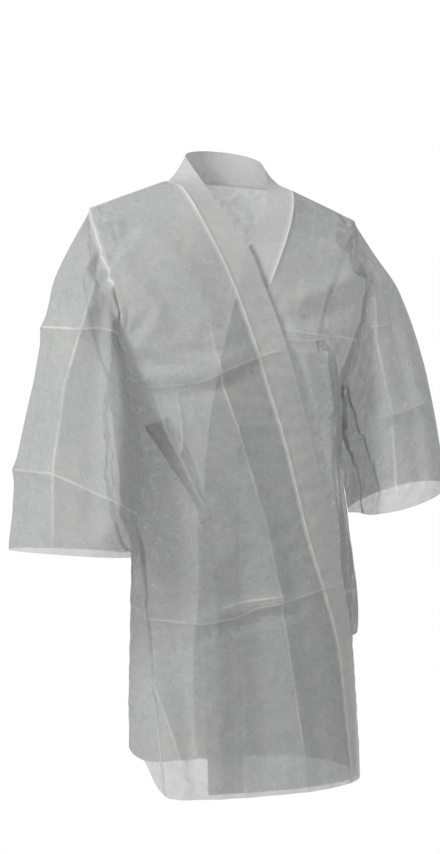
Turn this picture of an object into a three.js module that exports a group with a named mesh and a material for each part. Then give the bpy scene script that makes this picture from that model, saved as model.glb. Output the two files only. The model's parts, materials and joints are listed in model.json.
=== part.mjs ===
// Wrap-over patient gown of thin nonwoven cloth, in its worn shape and empty inside.
// Millimetres. +Z is up, the front faces -Y and the wearer's left is +X.
// The origin is the middle of the neck opening, level with the neck ends of the shoulder seams.
import * as THREE from 'three';
import { ParametricGeometry } from 'three/addons/geometries/ParametricGeometry.js';
import { mergeGeometries, mergeVertices } from 'three/addons/utils/BufferGeometryUtils.js';

// Driving dimensions.
const hemZ = -938;
const yokeZ = -170;
const underarmZ = -330;
const neckHalfWidth = 98;
const shoulderHalfWidth = 225;
const shoulderDrop = 50;
const shoulderRounding = 150;
const napeRise = 14;
const neckHollow = 0.8;
const armholeHalfDepth = 76;
const clothThickness = 2.4;
const bandThickness = 3.6;
const seamGap = 1.6;
const sectionRoundness = 2.5;
const armholeGap = 5;
const tieWidth = 33;
const tieThickness = 1.6;
const innerTieStart = { x: -142, z: -378 };
const knot = { x: -75, z: -524, halfWidth: 12, halfDepth: 4, halfHeight: 11 };
const innerTailEndZ = -884;
const sideTie = { topZ: -398, endZ: -726 };

// The cloth shows grey as one layer, and whiter where it is folded double.
const cloth = new THREE.MeshStandardMaterial({ color: 0xc6c6c0, roughness: 0.85, metalness: 0 });
const doubled = new THREE.MeshStandardMaterial({ color: 0xd4d4ce, roughness: 0.85, metalness: 0 });

const { lerp, clamp, mapLinear, smoothstep } = THREE.MathUtils;
const quarterTurn = Math.PI / 2;

// A value at height z, on straight lines between [height, value] stations from the hem up.
function along(stations, z) {
  const next = stations.findIndex(([height]) => height > z);
  if (next === 0) return stations[0][1];
  if (next < 0) return stations.at(-1)[1];
  const [lowZ, low] = stations[next - 1];
  const [highZ, high] = stations[next];
  return mapLinear(z, lowZ, highZ, low, high);
}

// The worn body of the gown: half width at the sides, depth before and behind, and its middle.
const halfWidth = z => along([[hemZ, 194], [-600, 186], [-450, 176], [underarmZ, 186], [-50, 225]], z);
const frontDepth = z => along([[hemZ, 138], [-560, 124], [-430, 122], [-270, 130], [-110, 108], [0, 92]], z);
const backDepth = z => along([[hemZ, 150], [-560, 122], [-420, 106], [-200, 114], [-60, 96], [20, 94]], z);
const middleX = z => along([[hemZ, 18], [-620, 18], [underarmZ, 0]], z);
const middleY = z => along([[hemZ, -10], [-620, -8], [underarmZ, 0]], z);
// The right side seam is drawn towards the front below the waist.
const rightSeam = z => along([[hemZ, -0.9], [-520, -1.3], [underarmZ, -quarterTurn]], z);
// Across the front: where each band is sewn to its panel, and its free edge.
const outerSeamX = z => along([[hemZ, 168], [-719, 142], [-554, 88], [-409, 52], [-274, 5],
  [-166, -30], [-70, -74], [0, -neckHalfWidth]], z);
const outerEdgeX = z => along([[hemZ, 196], [-719, 176], [-554, 139], [-409, 100], [-274, 56],
  [-148, 12], [-116, 0], [-66, -26], [0, -58]], z);
const innerSeamX = z => along([[hemZ, -22], [-560, -28], [-390, -20], [-274, 2], [-166, 30],
  [-70, 74], [0, neckHalfWidth]], z);
const innerEdgeX = z => along([[hemZ, -70], [-560, -77], [-390, -68], [-274, -48], [-148, -12], [-116, 0]], z);
// The outer front turns open about a straight line from the chest to the hem.
const foldX = z => mapLinear(z, yokeZ, hemZ, -62, -112);
// How far the inner front hangs behind the outer one.
const layerGap = z => along([[hemZ, 26], [-560, 16], [-116, 12]], z);

const shoulderZ = x => shoulderDrop * Math.max(Math.abs(x) - neckHalfWidth, 0)
  / (neckHalfWidth - shoulderHalfWidth);
const backNeckZ = x => shoulderZ(x) + napeRise * Math.max(1 - (x / neckHalfWidth) ** 2, 0);
const armholeDepth = z => armholeHalfDepth
  * Math.sin(Math.PI * clamp(mapLinear(z, underarmZ, -shoulderDrop, 0, 1), 0, 1));
const bend = value => Math.sign(value) * Math.abs(value) ** (2 / sectionRoundness);
const unbend = value => Math.sign(value) * Math.abs(value) ** (sectionRoundness / 2);

// The angle from the front middle at which the section at height z has this x.
const mostShare = 0.99999;
const angleAt = (x, z) => (
  Math.asin(unbend(clamp((x - middleX(z)) / halfWidth(z), -mostShare, mostShare))));

// A point of the gown's body, its depth closing in to the shoulder seams and the neck.
function bodyPoint(angle, z, inset, target) {
  const cosine = Math.cos(angle);
  const x = middleX(z) + halfWidth(z) * bend(Math.sin(angle));
  const depth = cosine >= 0 ? frontDepth(z) : backDepth(z);
  const hole = armholeDepth(z);
  const reach = hole + (depth - inset - hole) * Math.abs(bend(cosine));
  const below = clamp((shoulderZ(x) - z) / shoulderRounding, 0, 1);
  const atNeck = neckHollow * Math.sqrt(Math.max(1 - (x / neckHalfWidth) ** 2, 0));
  const closing = lerp(atNeck, 1, Math.sqrt(1 - (1 - below) ** 2));
  return target.set(x, middleY(z) - Math.sign(cosine) * (reach * closing + seamGap), z);
}

// The left front goes under the outer band and hangs behind it from there.
const underOuter = (x, z) => layerGap(z) * smoothstep(outerEdgeX(z) + 32 - x, 0, 36);
const onFront = (lineX, z, inset = () => 0) => bodyPoint(angleAt(lineX(z), z), z,
  inset(lineX(z), z), new THREE.Vector3());

// A panel between two lines given as angles, whose rows above the yoke rise to its crest.
function panel(fromAngle, toAngle, bottomZ, topZ, { inset = () => 0, crest = shoulderZ } = {}) {
  return (u, v, target) => {
    const level = lerp(bottomZ, topZ, v);
    let angle = lerp(fromAngle(level), toAngle(level), u);
    const { x } = bodyPoint(angle, level, 0, target);
    let z = level;
    if (level > yokeZ) {
      const isBack = Math.cos(angle) < 0;
      z = lerp(yokeZ, crest(x), (level - yokeZ) / -yokeZ);
      angle = isBack ? Math.PI - angleAt(x, z) : angleAt(x, z);
    }
    return bodyPoint(angle, z, inset(x, z), target);
  };
}

// A closed slab of even thickness about a mid-surface: two skins and the rim between them.
function slab(surface, columns, rows, thickness, isTube = false) {
  const step = 1e-4;
  const from = new THREE.Vector3();
  const alongU = new THREE.Vector3();
  const alongV = new THREE.Vector3();
  const skin = side => (u, v, target) => {
    const uIn = isTube ? u % 1 : clamp(u, step, 1 - step);
    const vIn = clamp(v, step, 1 - step);
    surface(uIn - step, vIn, from);
    surface(uIn + step, vIn, alongU).sub(from);
    surface(uIn, vIn - step, from);
    surface(uIn, vIn + step, alongV).sub(from);
    const normal = alongU.cross(alongV).normalize();
    surface(isTube ? u % 1 : u, v, target).addScaledVector(normal, side * thickness / 2);
  };
  const outer = skin(1);
  const inner = skin(-1);
  const rim = (edge, segments) => new ParametricGeometry((s, side, target) => (
    side < 0.5 ? inner(...edge(s), target) : outer(...edge(s), target)), segments, 1);
  const parts = [
    new ParametricGeometry(outer, columns, rows),
    new ParametricGeometry((u, v, target) => inner(1 - u, v, target), columns, rows),
    rim(s => [s, 0], columns),
    rim(s => [1 - s, 1], columns),
  ];
  if (!isTube) parts.push(rim(s => [1, s], rows), rim(s => [0, 1 - s], rows));
  for (const part of parts) {
    part.deleteAttribute('normal');
    part.deleteAttribute('uv');
  }
  const whole = mergeVertices(mergeGeometries(parts), 1e-3);
  whole.computeVertexNormals();
  return whole;
}

const gown = new THREE.Group();
function add(name, geometry, material) {
  const mesh = new THREE.Mesh(geometry, material);
  mesh.name = name;
  gown.add(mesh);
}

// Right front, the outer layer, cut where it bends: yoke, side and the flap that turns open.
const angleOf = (lineX, offset) => z => angleAt(lineX(z) + offset, z);
const rightArmhole = () => -quarterTurn;
const leftArmhole = () => quarterTurn;
const belowYoke = yokeZ - 2 * seamGap;
add('right_front_yoke', slab(
  panel(rightArmhole, angleOf(outerSeamX, -seamGap), yokeZ, 0), 12, 8, clothThickness), cloth);
add('right_front_side', slab(
  panel(rightSeam, angleOf(foldX, -seamGap), hemZ, belowYoke), 8, 20, clothThickness), cloth);
add('right_front_flap', slab(
  panel(angleOf(foldX, seamGap), angleOf(outerSeamX, -seamGap), hemZ, belowYoke), 10, 20,
  clothThickness), cloth);
add('right_front_band', slab(
  panel(angleOf(outerSeamX, seamGap), angleOf(outerEdgeX, 0), hemZ, belowYoke), 3, 22,
  bandThickness), doubled);

// Left front, the layer under it, with its own band.
const inset = underOuter;
const leftHemZ = hemZ + 6;
add('left_front_panel', slab(
  panel(angleOf(innerSeamX, seamGap), leftArmhole, leftHemZ, 0, { inset }), 14, 26,
  clothThickness), cloth);
add('left_front_band', slab(
  panel(angleOf(innerEdgeX, 0), angleOf(innerSeamX, -seamGap), leftHemZ, belowYoke, { inset }), 3, 22,
  bandThickness), doubled);

// Back, from the left side seam round to the right one.
const seamAngleGap = 0.008;
add('back_panel', slab(
  panel(() => quarterTurn + seamAngleGap, z => rightSeam(z) + 4 * quarterTurn - seamAngleGap,
    hemZ, 0, { crest: backNeckZ }), 26, 26, clothThickness), cloth);

// Neckband: one folded strip from the right chest seam, round the nape, to the left one.
const seamLevels = [belowYoke + seamGap, -148, -114, -72, -34];
const edgeLevels = [belowYoke + seamGap, -146, -116];
const napeSeam = [-88, -54, 0, 54, 88].map(x => (
  bodyPoint(Math.PI - angleAt(x, 0), backNeckZ(x), 0, new THREE.Vector3())
    .add(new THREE.Vector3(0, 0, 2 * seamGap))));
const neckSeam = new THREE.CatmullRomCurve3([
  ...seamLevels.map(z => onFront(outerSeamX, z)),
  new THREE.Vector3(-neckHalfWidth, 0, 0),
  ...napeSeam,
  new THREE.Vector3(neckHalfWidth, 0, 0),
  ...seamLevels.toReversed().map(z => onFront(innerSeamX, z, inset)),
]);
const neckSideEdge = side => [[26, -88, -68], [50, -54, -18], [64, -6, 30], [58, 30, 48], [36, 54, 58]]
  .map(([x, y, z]) => new THREE.Vector3(side * x, y, z));
const neckEdge = new THREE.CatmullRomCurve3([
  ...edgeLevels.map(z => onFront(outerEdgeX, z)),
  ...neckSideEdge(-1),
  new THREE.Vector3(0, 64, 62),
  ...neckSideEdge(1).toReversed(),
  ...edgeLevels.toReversed().map(z => onFront(innerEdgeX, z, inset)),
]);
add('neckband', slab((u, v, target) => {
  const edge = neckEdge.getPointAt(u);
  return target.copy(neckSeam.getPointAt(u)).lerp(edge, lerp(0.035, 1, v));
}, 48, 3, bandThickness), doubled);

// Sleeves: tubes from the upright armhole to the nearly level cuff.
// Each ring has its middle, its half width across the arm, its half depth and its turn from upright.
function sleeve(side, rings) {
  const middle = new THREE.CatmullRomCurve3(rings.map(ring => (
    new THREE.Vector3(side * ring.x, ring.y, ring.z))));
  const read = (key, v) => {
    const place = v * (rings.length - 1);
    const first = Math.min(Math.floor(place), rings.length - 2);
    return lerp(rings[first][key], rings[first + 1][key], place - first);
  };
  return (u, v, target) => {
    const around = 2 * Math.PI * u * -side;
    const turn = THREE.MathUtils.degToRad(read('turn', v));
    const across = read('across', v) * Math.cos(around);
    middle.getPoint(clamp(v, 0, 1), target);
    target.x += side * across * Math.sin(turn);
    target.y += read('deep', v) * Math.sin(around);
    target.z += across * Math.cos(turn);
    return target;
  };
}
const armholeX = 208 + armholeGap;
add('right_sleeve', slab(sleeve(-1, [
  { x: armholeX, y: 0, z: -190, across: 138, deep: 76, turn: 8 },
  { x: 236, y: -14, z: -268, across: 108, deep: 88, turn: 28 },
  { x: 254, y: -44, z: -362, across: 92, deep: 94, turn: 48 },
  { x: 270, y: -66, z: -464, across: 90, deep: 95, turn: 68 },
  { x: 275, y: -78, z: -572, across: 90, deep: 96, turn: 86 },
]), 28, 12, clothThickness, true), cloth);
add('left_sleeve', slab(sleeve(1, [
  { x: armholeX, y: 0, z: -190, across: 138, deep: 76, turn: 8 },
  { x: 244, y: 4, z: -262, across: 112, deep: 92, turn: 28 },
  { x: 266, y: 6, z: -340, across: 97, deep: 102, turn: 48 },
  { x: 284, y: 2, z: -424, across: 86, deep: 106, turn: 60 },
  { x: 296, y: -6, z: -504, across: 77, deep: 108, turn: 68 },
]), 28, 12, clothThickness, true), cloth);

// Inner ties, between the two fronts: one from the right side seam, one sewn to the left band,
// their knot, and the tail that hangs from it.
const betweenLayers = z => layerGap(z) * 0.5;
const onLayer = (x, z, target) => bodyPoint(angleAt(x, z), z, betweenLayers(z), target);
const tieSlope = Math.atan2(innerTieStart.z - knot.z, innerTieStart.x - knot.x);
add('right_inner_tie', slab((u, v, target) => {
  const across = (u - 0.5) * lerp(tieWidth, 13, v);
  const x = lerp(innerTieStart.x, knot.x - 0.6 * knot.halfWidth, v) + across * Math.sin(tieSlope);
  const z = lerp(innerTieStart.z, knot.z + knot.halfHeight + 4, v) - across * Math.cos(tieSlope);
  return onLayer(x, z, target);
}, 2, 10, tieThickness), doubled);
add('left_inner_tie', slab((u, v, target) => (
  onLayer(lerp(-34, knot.x + knot.halfWidth + 2, v), knot.z + (u - 0.5) * lerp(26, 13, v), target)),
2, 4, tieThickness), doubled);
const knotBall = new THREE.SphereGeometry(1, 14, 10);
knotBall.deleteAttribute('normal');
knotBall.deleteAttribute('uv');
const knotShape = mergeVertices(knotBall, 1e-4)
  .scale(knot.halfWidth, knot.halfDepth, knot.halfHeight)
  .rotateZ(-0.35);
knotShape.translate(...onLayer(knot.x, knot.z, new THREE.Vector3()).toArray());
add('inner_knot', knotShape, doubled);
add('inner_tie_tail', slab((u, v, target) => {
  const z = lerp(innerTailEndZ - 8 * u, knot.z - knot.halfHeight - 2, v);
  const width = lerp(tieWidth, 20, smoothstep(v, 0.5, 1));
  return onLayer(knot.x - 3 * (1 - v) + (u - 0.5) * width, z, target);
}, 3, 14, tieThickness), doubled);

// Side tie: sewn to the left side seam at the waist, it hangs free outside.
const sideTiePath = new THREE.CatmullRomCurve3([sideTie.topZ, -470, -560, -640, sideTie.endZ].map(z => (
  new THREE.Vector3(middleX(z) + halfWidth(z) + (z < -620 ? 8 : 5), 0, z))));
add('side_tie', slab((u, v, target) => {
  sideTiePath.getPoint(clamp(v, 0, 1), target);
  target.y += (0.5 - u) * tieWidth;
  target.z -= 8 * u * v;
  return target;
}, 2, 12, tieThickness), doubled);

export default gown;
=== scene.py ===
import json
import math

import bpy
import numpy as np
from bpy.props import FloatProperty, IntProperty, PointerProperty
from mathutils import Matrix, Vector
from mathutils.bvhtree import BVHTree
from mathutils.kdtree import KDTree

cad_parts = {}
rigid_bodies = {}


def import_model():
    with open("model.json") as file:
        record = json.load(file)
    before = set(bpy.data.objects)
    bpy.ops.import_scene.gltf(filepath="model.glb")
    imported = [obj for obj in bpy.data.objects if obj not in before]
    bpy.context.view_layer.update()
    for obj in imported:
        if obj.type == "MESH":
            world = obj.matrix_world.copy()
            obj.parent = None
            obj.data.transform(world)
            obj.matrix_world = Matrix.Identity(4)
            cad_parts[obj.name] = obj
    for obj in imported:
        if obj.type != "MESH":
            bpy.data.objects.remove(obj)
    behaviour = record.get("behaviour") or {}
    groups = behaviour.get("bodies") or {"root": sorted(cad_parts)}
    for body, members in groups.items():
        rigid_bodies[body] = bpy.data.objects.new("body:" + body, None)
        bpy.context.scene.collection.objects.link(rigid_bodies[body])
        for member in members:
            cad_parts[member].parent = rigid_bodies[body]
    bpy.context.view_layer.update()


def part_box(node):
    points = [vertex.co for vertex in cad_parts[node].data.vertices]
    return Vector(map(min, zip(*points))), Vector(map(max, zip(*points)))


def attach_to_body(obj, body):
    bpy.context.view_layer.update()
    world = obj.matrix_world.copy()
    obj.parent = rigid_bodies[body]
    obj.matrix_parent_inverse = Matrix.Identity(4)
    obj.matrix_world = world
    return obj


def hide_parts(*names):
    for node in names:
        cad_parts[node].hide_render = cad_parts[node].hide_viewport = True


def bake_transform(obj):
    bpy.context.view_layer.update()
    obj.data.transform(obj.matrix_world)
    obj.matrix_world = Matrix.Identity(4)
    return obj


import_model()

bl_info = {
    "name": "Wrap-over patient gown",
    "version": (1, 0, 0),
    "blender": (4, 5, 0),
    "location": "3D View > Sidebar > Gown",
    "description": "Sews, drapes and finishes a wrap-over patient gown of spunbond cloth",
    "category": "Add Mesh",
}

HEM_Z = float(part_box("back_panel")[0][2])
SHOULDER_HALF_WIDTH = float(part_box("back_panel")[1][0])
YOKE_Z = float(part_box("right_front_yoke")[0][2])
UNDERARM_Z = -0.330
SHOULDER_DROP = 0.050
SHOULDER_ROUNDING = 0.150
NECK_HALF_WIDTH = 0.098
NAPE_RISE = 0.014
NECK_HOLLOW = 0.8
ARMHOLE_HALF_DEPTH = 0.076
ROUNDNESS = 2.5
TIE_WIDTH = 0.033
SHARP_ANGLE = math.radians(50)
STITCH_INSET = 0.0035
QUARTER = math.pi / 2

# Stations of [height, value] in metres from the hem up, read along by the functions under them.
HALF_WIDTH = [(HEM_Z, 0.194), (-0.600, 0.186), (-0.450, 0.176), (UNDERARM_Z, 0.186), (-0.050, 0.225)]
FRONT_DEPTH = [(HEM_Z, 0.138), (-0.560, 0.124), (-0.430, 0.122), (-0.270, 0.130), (-0.110, 0.108), (0, 0.092)]
BACK_DEPTH = [(HEM_Z, 0.150), (-0.560, 0.122), (-0.420, 0.106), (-0.200, 0.114), (-0.060, 0.096),
              (0.020, 0.094)]
MIDDLE_X = [(HEM_Z, 0.018), (-0.620, 0.018), (UNDERARM_Z, 0)]
MIDDLE_Y = [(HEM_Z, -0.010), (-0.620, -0.008), (UNDERARM_Z, 0)]
RIGHT_SEAM = [(HEM_Z, -0.9), (-0.520, -1.3), (UNDERARM_Z, -QUARTER)]
OUTER_SEAM_X = [(HEM_Z, 0.168), (-0.719, 0.142), (-0.554, 0.088), (-0.409, 0.052), (-0.274, 0.005),
                (-0.166, -0.030), (-0.070, -0.074), (0, -NECK_HALF_WIDTH)]
OUTER_EDGE_X = [(HEM_Z, 0.196), (-0.719, 0.176), (-0.554, 0.139), (-0.409, 0.100), (-0.274, 0.056),
                (-0.148, 0.012), (-0.116, 0), (-0.066, -0.026), (0, -0.058)]
INNER_SEAM_X = [(HEM_Z, -0.022), (-0.560, -0.028), (-0.390, -0.020), (-0.274, 0.002), (-0.166, 0.030),
                (-0.070, 0.074), (0, NECK_HALF_WIDTH)]
INNER_EDGE_X = [(HEM_Z, -0.070), (-0.560, -0.077), (-0.390, -0.068), (-0.274, -0.048), (-0.148, -0.012),
                (-0.116, 0)]
LAYER_GAP = [(HEM_Z, 0.026), (-0.560, 0.016), (-0.116, 0.012)]


def along(stations, z, blur=0.035):
    """The stations' value at height z, with the corners between their straight lines rounded."""
    heights, values = zip(*stations)
    reach = np.clip(np.minimum(blur, -np.asarray(z, float)), 0, blur)
    steps = (-1, -0.6, -0.2, 0.2, 0.6, 1)
    return np.mean([np.interp(z + step * reach, heights, values) for step in steps], axis=0)


def bend(value):
    return np.sign(value) * np.abs(value) ** (2 / ROUNDNESS)


def unbend(value):
    return np.sign(value) * np.abs(value) ** (ROUNDNESS / 2)


def angle_at(x, z):
    """The angle from the front middle at which the gown's section at height z has this x."""
    share = (x - along(MIDDLE_X, z)) / along(HALF_WIDTH, z)
    return np.arcsin(unbend(np.clip(share, -1, 1)))


def shoulder_z(x):
    past_neck = np.maximum(np.abs(x) - NECK_HALF_WIDTH, 0)
    return -SHOULDER_DROP * past_neck / (SHOULDER_HALF_WIDTH - NECK_HALF_WIDTH)


def back_neck_z(x):
    return shoulder_z(x) + NAPE_RISE * np.maximum(1 - (x / NECK_HALF_WIDTH) ** 2, 0)


def body_point(angle, z, inset=0.0, facing=None):
    """Points of the gown's body. facing is 1 for the front and -1 for the back, where the angle can't say."""
    cosine = np.cos(angle)
    facing = np.sign(cosine) if facing is None else facing
    x = along(MIDDLE_X, z) + along(HALF_WIDTH, z) * bend(np.sin(angle))
    depth = np.where(facing > 0, along(FRONT_DEPTH, z), along(BACK_DEPTH, z))
    rise = np.clip((z - UNDERARM_Z) / (-SHOULDER_DROP - UNDERARM_Z), 0, 1)
    hole = ARMHOLE_HALF_DEPTH * np.sin(np.pi * rise)
    reach = hole + (depth - inset - hole) * np.abs(bend(cosine))
    below = np.clip((shoulder_z(x) - z) / SHOULDER_ROUNDING, 0, 1)
    at_neck = NECK_HOLLOW * np.sqrt(np.maximum(1 - (x / NECK_HALF_WIDTH) ** 2, 0))
    closing = at_neck + (1 - at_neck) * np.sqrt(1 - (1 - below) ** 2)
    y = along(MIDDLE_Y, z) - facing * reach * closing
    return np.stack(np.broadcast_arrays(x, y, z), axis=-1)


def smooth(value, low, high):
    t = np.clip((value - low) / (high - low), 0, 1)
    return t * t * (3 - 2 * t)


def under_outer(x, z):
    """How far the left front hangs behind the outer band and what follows it."""
    return along(LAYER_GAP, z) * smooth(along(OUTER_EDGE_X, z) + 0.032 - x, 0, 0.036)


def patch(from_angle, to_angle, fractions, levels, back=False, inset=None, crest=shoulder_z):
    """A grid of cloth points, rows by columns. Rows above the yoke rise to the crest line."""
    level = levels[:, None] * np.ones_like(fractions)
    start = from_angle(levels)[:, None]
    angle = start + (to_angle(levels)[:, None] - start) * fractions
    flat = body_point(angle, level)
    x = flat[..., 0]
    above = level > YOKE_Z + 1e-6
    z = np.where(above, YOKE_Z + (crest(x) - YOKE_Z) * (level - YOKE_Z) / -YOKE_Z, level)
    wanted = -1.0 if back else 1.0
    facing = np.where(level >= UNDERARM_Z - 1e-6, wanted, np.sign(np.cos(angle)))
    depth = 0.0 if inset is None else inset(x, z)
    points = body_point(angle, z, depth, facing)
    # Both faces of the gown close on one line along the shoulder seam.
    on_shoulder = (level > -1e-9) & (np.abs(x) > NECK_HALF_WIDTH - 1e-6)
    points[..., 1] = np.where(on_shoulder, along(MIDDLE_Y, z), points[..., 1])
    return points


def curve_through(points, count_at):
    """A Catmull-Rom curve through the points, read at shares of its length."""
    points = np.array(points, float)
    ends = np.vstack([2 * points[0] - points[1], points, 2 * points[-1] - points[-2]])
    fine = []
    for i in range(1, len(ends) - 2):
        a, b, c, d = ends[i - 1:i + 3]
        for t in np.linspace(0, 1, 24, endpoint=False):
            fine.append(0.5 * (2 * b + (c - a) * t + (2 * a - 5 * b + 4 * c - d) * t ** 2
                               + (3 * b - a - 3 * c + d) * t ** 3))
    fine = np.array(fine + [points[-1]])
    length = np.r_[0, np.cumsum(np.linalg.norm(np.diff(fine, axis=0), axis=1))]
    return np.stack([np.interp(np.asarray(count_at) * length[-1], length, fine[:, k]) for k in range(3)], -1)


def shares(points):
    length = np.r_[0, np.cumsum(np.linalg.norm(np.diff(points, axis=0), axis=1))]
    return length / length[-1]


SLEEVE_BLEND_ROWS = 9
# Sleeve rings: middle, half width across the arm, half depth, turn from upright in degrees, and how
# far the front of the sleeve leans in over the body.
RIGHT_RINGS = [(0.213, 0, -0.190, 0.138, 0.076, 8, 0), (0.236, -0.014, -0.268, 0.108, 0.088, 28, 0.026),
               (0.254, -0.044, -0.362, 0.092, 0.094, 48, 0.050),
               (0.270, -0.066, -0.464, 0.090, 0.095, 68, 0.048),
               (0.275, -0.078, -0.572, 0.090, 0.096, 86, 0.022)]
LEFT_RINGS = [(0.213, 0, -0.190, 0.138, 0.076, 8, 0), (0.244, 0.004, -0.262, 0.112, 0.092, 28, 0),
              (0.266, 0.006, -0.340, 0.097, 0.102, 48, 0), (0.284, 0.002, -0.424, 0.086, 0.106, 60, 0),
              (0.296, -0.006, -0.504, 0.077, 0.108, 68, 0)]


def sleeve_patch(side, rings, armhole, rows):
    """Rings of points from the armhole's own edge to the cuff."""
    count = len(armhole)
    around = -np.pi * np.arange(count) / (count / 2)
    places = np.linspace(0, len(rings) - 1, rows)
    values = [np.interp(places, range(len(rings)), column) for column in zip(*rings)]
    middles = curve_through([ring[:3] for ring in rings], places / (len(rings) - 1))
    grid = np.empty((rows, count, 3))
    for row in range(rows):
        across, deep, turn = values[3][row], values[4][row], math.radians(values[5][row])
        lean = values[6][row] * np.maximum(-np.sin(around), 0)
        grid[row, :, 0] = side * (middles[row, 0] - lean + across * np.cos(around) * math.sin(turn))
        grid[row, :, 1] = middles[row, 1] + deep * np.sin(around)
        grid[row, :, 2] = middles[row, 2] + across * np.cos(around) * math.cos(turn)
    pull = armhole - grid[0]
    for row in range(SLEEVE_BLEND_ROWS):
        grid[row] += pull * (1 - smooth(row, 0, SLEEVE_BLEND_ROWS))
    return grid


# ---------------------------------------------------------------- cutting and sewing

FRONT_COLUMNS = 24
NECK_COLUMNS = 15
BAND_COLUMNS = 5
SLEEVE_ROWS = 40
WELD = 2e-4
INSIDE_OUT = ("right_sleeve", "neckband")


def flat_lengths(grid):
    """Flat coordinates in metres for a grid of points: along its rows and up its columns."""
    across = np.linalg.norm(np.diff(grid, axis=1), axis=2)
    up = np.linalg.norm(np.diff(grid, axis=0), axis=2)
    u = np.concatenate([np.zeros((len(grid), 1)), np.cumsum(across, axis=1)], axis=1)
    v = np.concatenate([np.zeros((1, grid.shape[1])), np.cumsum(up, axis=0)], axis=0)
    return np.stack([u - u[:, -1:] / 2, v], -1)


def cut_patches():
    """Every piece of cloth as a grid of points in the shape it is worn in, before it drapes."""
    below = np.linspace(HEM_Z, UNDERARM_Z, 56)
    side = np.linspace(UNDERARM_Z, YOKE_Z, 15)
    top = np.linspace(YOKE_Z, 0, 16)
    levels = np.concatenate([below, side[1:], top[1:]])
    band_levels = levels[levels <= YOKE_Z + 1e-6]
    right = lambda z: np.where(z < UNDERARM_Z, along(RIGHT_SEAM, z, 0), -QUARTER)
    left = lambda z: np.full_like(z, QUARTER)
    line = lambda stations: lambda z: angle_at(along(stations, z), z)
    even = np.linspace(0, 1, FRONT_COLUMNS + 1)
    narrow = np.linspace(0, 1, BAND_COLUMNS + 1)
    neck_angle = float(np.arcsin(unbend(NECK_HALF_WIDTH / SHOULDER_HALF_WIDTH)))
    shoulder_share = (QUARTER - neck_angle) / np.pi
    back_shares = np.concatenate([even * shoulder_share,
                                  np.linspace(shoulder_share, 1 - shoulder_share, NECK_COLUMNS)[1:-1],
                                  1 - even[::-1] * shoulder_share])
    inset = under_outer
    patches = {
        "right_front": patch(right, line(OUTER_SEAM_X), even, levels),
        "right_front_band": patch(line(OUTER_SEAM_X), line(OUTER_EDGE_X), narrow, band_levels),
        "left_front": patch(line(INNER_SEAM_X), left, even, levels, inset=inset),
        "left_front_band": patch(line(INNER_EDGE_X), line(INNER_SEAM_X), narrow, band_levels, inset=inset),
        "back_panel": patch(left, lambda z: right(z) + 2 * np.pi, back_shares, levels, back=True,
                            crest=back_neck_z),
    }
    above = levels >= YOKE_Z - 1e-6
    # The fronts take the back panel's own points along the shoulders, so that the seams close.
    shoulders = patches["back_panel"][-1]
    patches["left_front"][-1] = shoulders[:FRONT_COLUMNS + 1][::-1]
    patches["right_front"][-1] = shoulders[-FRONT_COLUMNS - 1:][::-1]
    seam = np.concatenate([patches["right_front"][above, -1],
                           patches["back_panel"][-1, FRONT_COLUMNS:-FRONT_COLUMNS][::-1][1:-1],
                           patches["left_front"][above, 0][::-1]])
    right_leg = [patches["right_front_band"][-1, -1], (0, -0.108, -0.116)]
    left_leg = [(0, -0.096, -0.116), patches["left_front_band"][-1, 0]]
    neck_side = [(0.026, -0.088, -0.068), (0.050, -0.054, -0.018), (0.064, -0.006, 0.030),
                 (0.058, 0.030, 0.048), (0.036, 0.054, 0.058)]
    edge = curve_through(right_leg + [(-x, y, z) for x, y, z in neck_side] + [(0, 0.064, 0.062)]
                         + neck_side[::-1] + left_leg, shares(seam))
    grid = seam + (edge - seam) * narrow[:, None, None]
    grid[:, 0] = patches["right_front_band"][-1]
    grid[:, -1] = patches["left_front_band"][-1, ::-1]
    patches["neckband"] = grid
    armhole = levels >= UNDERARM_Z - 1e-6
    holes = {
        "right_sleeve": (patches["right_front"][armhole, 0], patches["back_panel"][armhole, -1]),
        "left_sleeve": (patches["left_front"][armhole, -1], patches["back_panel"][armhole, 0]),
    }
    for name, (front, rear) in holes.items():
        loop = np.concatenate([front[::-1], rear[1:-1]])
        sign, rings = (-1, RIGHT_RINGS) if name.startswith("right") else (1, LEFT_RINGS)
        patches[name] = sleeve_patch(sign, rings, loop, SLEEVE_ROWS)
    return patches


def sew(patches):
    """Welds the patches along their seams: points, and each piece's own faces and flat coordinates."""
    every = np.concatenate([grid.reshape(-1, 3) for grid in patches.values()])
    tree = KDTree(len(every))
    for number, place in enumerate(every):
        tree.insert(place, number)
    tree.balance()
    first = np.array([min(found[1] for found in tree.find_range(place, WELD)) for place in every])
    kept, number_of = np.unique(first, return_inverse=True)
    pieces, start = {}, 0
    for name, grid in patches.items():
        index = number_of[start:start + grid.shape[0] * grid.shape[1]].reshape(grid.shape[:2])
        start += index.size
        closed = name.endswith("sleeve")
        flat = flat_lengths(np.concatenate([grid, grid[:, :1]], axis=1) if closed else grid)
        if closed:
            index = np.concatenate([index, index[:, :1]], axis=1)
        turns = ((0, 0), (0, 1), (1, 1), (1, 0))
        if name in INSIDE_OUT:
            turns = turns[::-1]
        faces, uvs = [], []
        for row in range(index.shape[0] - 1):
            for column in range(index.shape[1] - 1):
                corners = [(row + up, column + over) for up, over in turns]
                faces.append([int(index[corner]) for corner in corners])
                uvs.append([flat[corner] for corner in corners])
        pieces[name] = {"faces": faces, "uvs": uvs, "index": index, "flat": flat, "grid": grid}
    return every[kept], pieces


def mesh_object(name, points, faces, uvs=None):
    mesh = bpy.data.meshes.new(name)
    mesh.from_pydata([tuple(p) for p in points], [], [tuple(int(i) for i in f) for f in faces])
    if uvs is not None:
        layer = mesh.uv_layers.new(name="Flat")
        layer.data.foreach_set("uv", np.array(uvs, np.float32).ravel())
    piece = bpy.data.objects.new(name, mesh)
    bpy.context.scene.collection.objects.link(piece)
    return piece


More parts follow.
